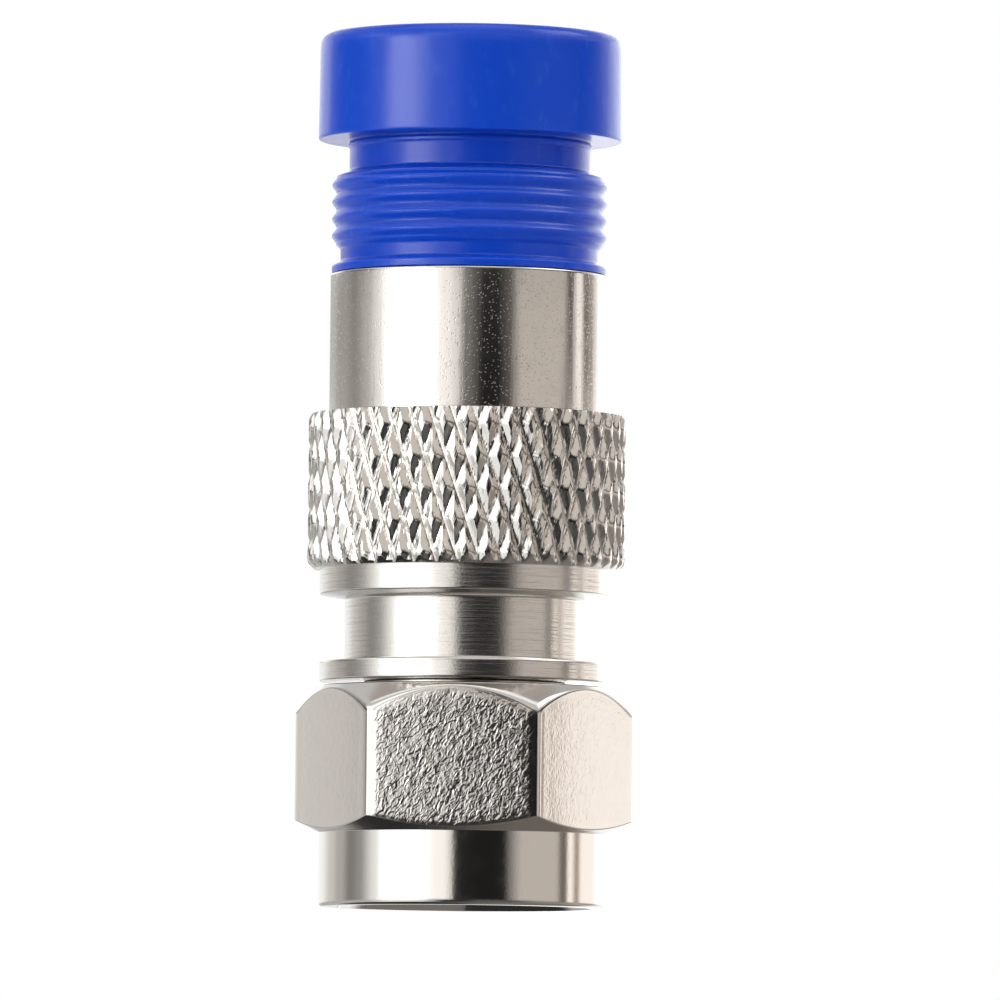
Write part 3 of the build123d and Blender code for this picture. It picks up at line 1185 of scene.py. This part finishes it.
@dataclass
class Studio:
    """Camera, light tent, floor and background.

    Distances are in metres, angles and the tent's step in degrees, the lens in millimetres, and
    the picture and its centre in pixels.
    """

    camera_azimuth: float = 4.4
    camera_elevation: float = -3.4
    camera_roll: float = 0.6
    camera_distance: float = 0.470
    lens: float = 455.0
    picture: float = 1000.0
    centre_x: float = 466.9
    centre_y: float = 471.0
    clip: tuple[float, float] = (0.01, 10.0)
    tent_r: float = 0.32
    tent_step: float = 1.0
    floor_r: float = 0.30
    floor_z: float = -0.00002
    floor_columns: int = 96
    floor_colour: Colour = (0.86, 0.86, 0.86)

    def camera(self, aim: Vector) -> bpy.types.Object:
        """Places the camera at the photograph's angle. The lens shift sets where the object lies in the picture."""
        data = bpy.data.cameras.new("camera")
        data.lens = self.lens
        data.shift_x = (self.picture / 2 - self.centre_x) / self.picture
        data.shift_y = (self.centre_y - self.picture / 2) / self.picture
        data.clip_start, data.clip_end = self.clip
        made = link("camera", data)
        azimuth, elevation = math.radians(self.camera_azimuth), math.radians(self.camera_elevation)
        flat = math.cos(elevation)
        back = Vector((math.sin(azimuth) * flat, -math.cos(azimuth) * flat, math.sin(elevation)))
        roll = Quaternion((0, 0, 1), math.radians(self.camera_roll))
        made.location = aim + back * self.camera_distance
        made.rotation_mode = "QUATERNION"
        made.rotation_quaternion = (-back).to_track_quat("-Z", "Y") @ roll
        bpy.context.scene.camera = made
        return made

    @staticmethod
    def tent_light(azimuth: np.ndarray, elevation: np.ndarray) -> np.ndarray:
        """Light of the tent, blended evenly between one belt and the next.

        Args:
            azimuth: Azimuths of the columns in degrees.
            elevation: Elevations of the rows in degrees.

        Returns:
            Red, green and blue with the shape (rows, columns, 3).
        """
        knots = [angle for belt in BELTS for angle in (belt.low, belt.high)]
        walls = np.stack([belt.light(azimuth) for belt in BELTS for _ in range(2)])
        place = np.interp(elevation, knots, np.arange(len(knots)))
        below = np.minimum(place.astype(int), len(knots) - 2)
        share = (place - below)[:, None, None]
        return walls[below] * (1 - share) + walls[below + 1] * share

    def tent(self, centre_z: float) -> bpy.types.Object:
        """A ball of cloth round the object. It shines inwards and camera rays pass through it."""
        azimuth = np.arange(-180, 180, self.tent_step)
        elevation = np.arange(-90 + self.tent_step / 2, 90, self.tent_step)
        angles = np.radians(azimuth + self.camera_azimuth - 90)
        rise = np.radians(elevation)[:, None]
        x, y = np.cos(rise) * np.cos(angles), np.cos(rise) * np.sin(angles)
        points = np.stack([x, y, np.broadcast_to(np.sin(rise), x.shape)], axis=-1) * self.tent_r
        points[..., 2] += centre_z
        light = self.tent_light(azimuth, elevation)
        rows, columns = x.shape
        quads = quads_between(rows, columns, range(rows - 1, rows))

        data = bpy.data.meshes.new("tent")
        data.from_pydata(points.reshape(-1, 3).tolist(), [], quads[:, ::-1].tolist())
        layer = data.attributes.new("light", "FLOAT_COLOR", "POINT")
        alpha = np.ones((rows, columns, 1))
        layer.data.foreach_set("color", np.concatenate([light, alpha], axis=-1).astype(np.float32).ravel())
        data.materials.append(self.tent_material())
        made = link("tent", data)
        made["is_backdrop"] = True
        return made

    def tent_material(self) -> bpy.types.Material:
        """Light from the mesh's own colours, and nothing for the camera."""
        shader = Shader("tent")
        light = shader.node("Attribute", {"attribute_name": "light"}, "Color")
        glow = shader.node("Emission", None, 0, Color=light, Strength=1.0)
        clear = shader.node("BsdfTransparent")
        seen = shader.node("LightPath", None, "Is Camera Ray")
        return shader.end(shader.blend(seen, glow, clear))

    def floor(self) -> bpy.types.Object:
        """A pale disc under the object.

        A camera below it sees through its underside, and metal shows the tent under it instead.
        """
        shader = Shader("floor")
        pale = shader.node("BsdfDiffuse", None, 0, Color=(*self.floor_colour, 1.0))
        clear = shader.node("BsdfTransparent")
        glossy = shader.node("LightPath", None, "Is Glossy Ray")
        through = shader.math("MAXIMUM", shader.node("NewGeometry", None, "Backfacing"), glossy)
        angles = even_angles(self.floor_columns)
        rim = np.stack([np.cos(angles), np.sin(angles), np.zeros(len(angles))], axis=-1) * self.floor_r
        rim[:, 2] = self.floor_z
        data = bpy.data.meshes.new("floor")
        data.from_pydata(rim.tolist(), [], [list(range(len(angles)))])
        data.materials.append(shader.end(shader.blend(through, pale, clear)))
        made = link("floor", data)
        made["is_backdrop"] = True
        return made

    def world(self) -> None:
        """A white background."""
        made = bpy.data.worlds.new("world")
        made.use_nodes = True
        made.node_tree.nodes["Background"].inputs["Color"].default_value = (1, 1, 1, 1)
        made.node_tree.nodes["Background"].inputs["Strength"].default_value = 1.0
        bpy.context.scene.world = made

    def build(self, low: Vector, high: Vector) -> None:
        """Sets up the studio round an object with this box."""
        centre_z = (low.z + high.z) / 2
        self.camera(Vector((0, 0, centre_z)))
        self.tent(centre_z)
        self.floor()
        self.world()
        bpy.context.scene.view_settings.view_transform = "Standard"
        log.info("studio ready")


def main() -> None:
    """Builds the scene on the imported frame."""
    logging.basicConfig(level=logging.INFO, format="%(name)s: %(message)s")
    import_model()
    frame_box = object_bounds()
    for piece in (CouplingNut(), InnerPost(), NutSeal(), ConnectorBody(), CompressionSleeve()):
        piece.add()
    Studio().build(*frame_box)


if __name__ == "__main__":
    main()
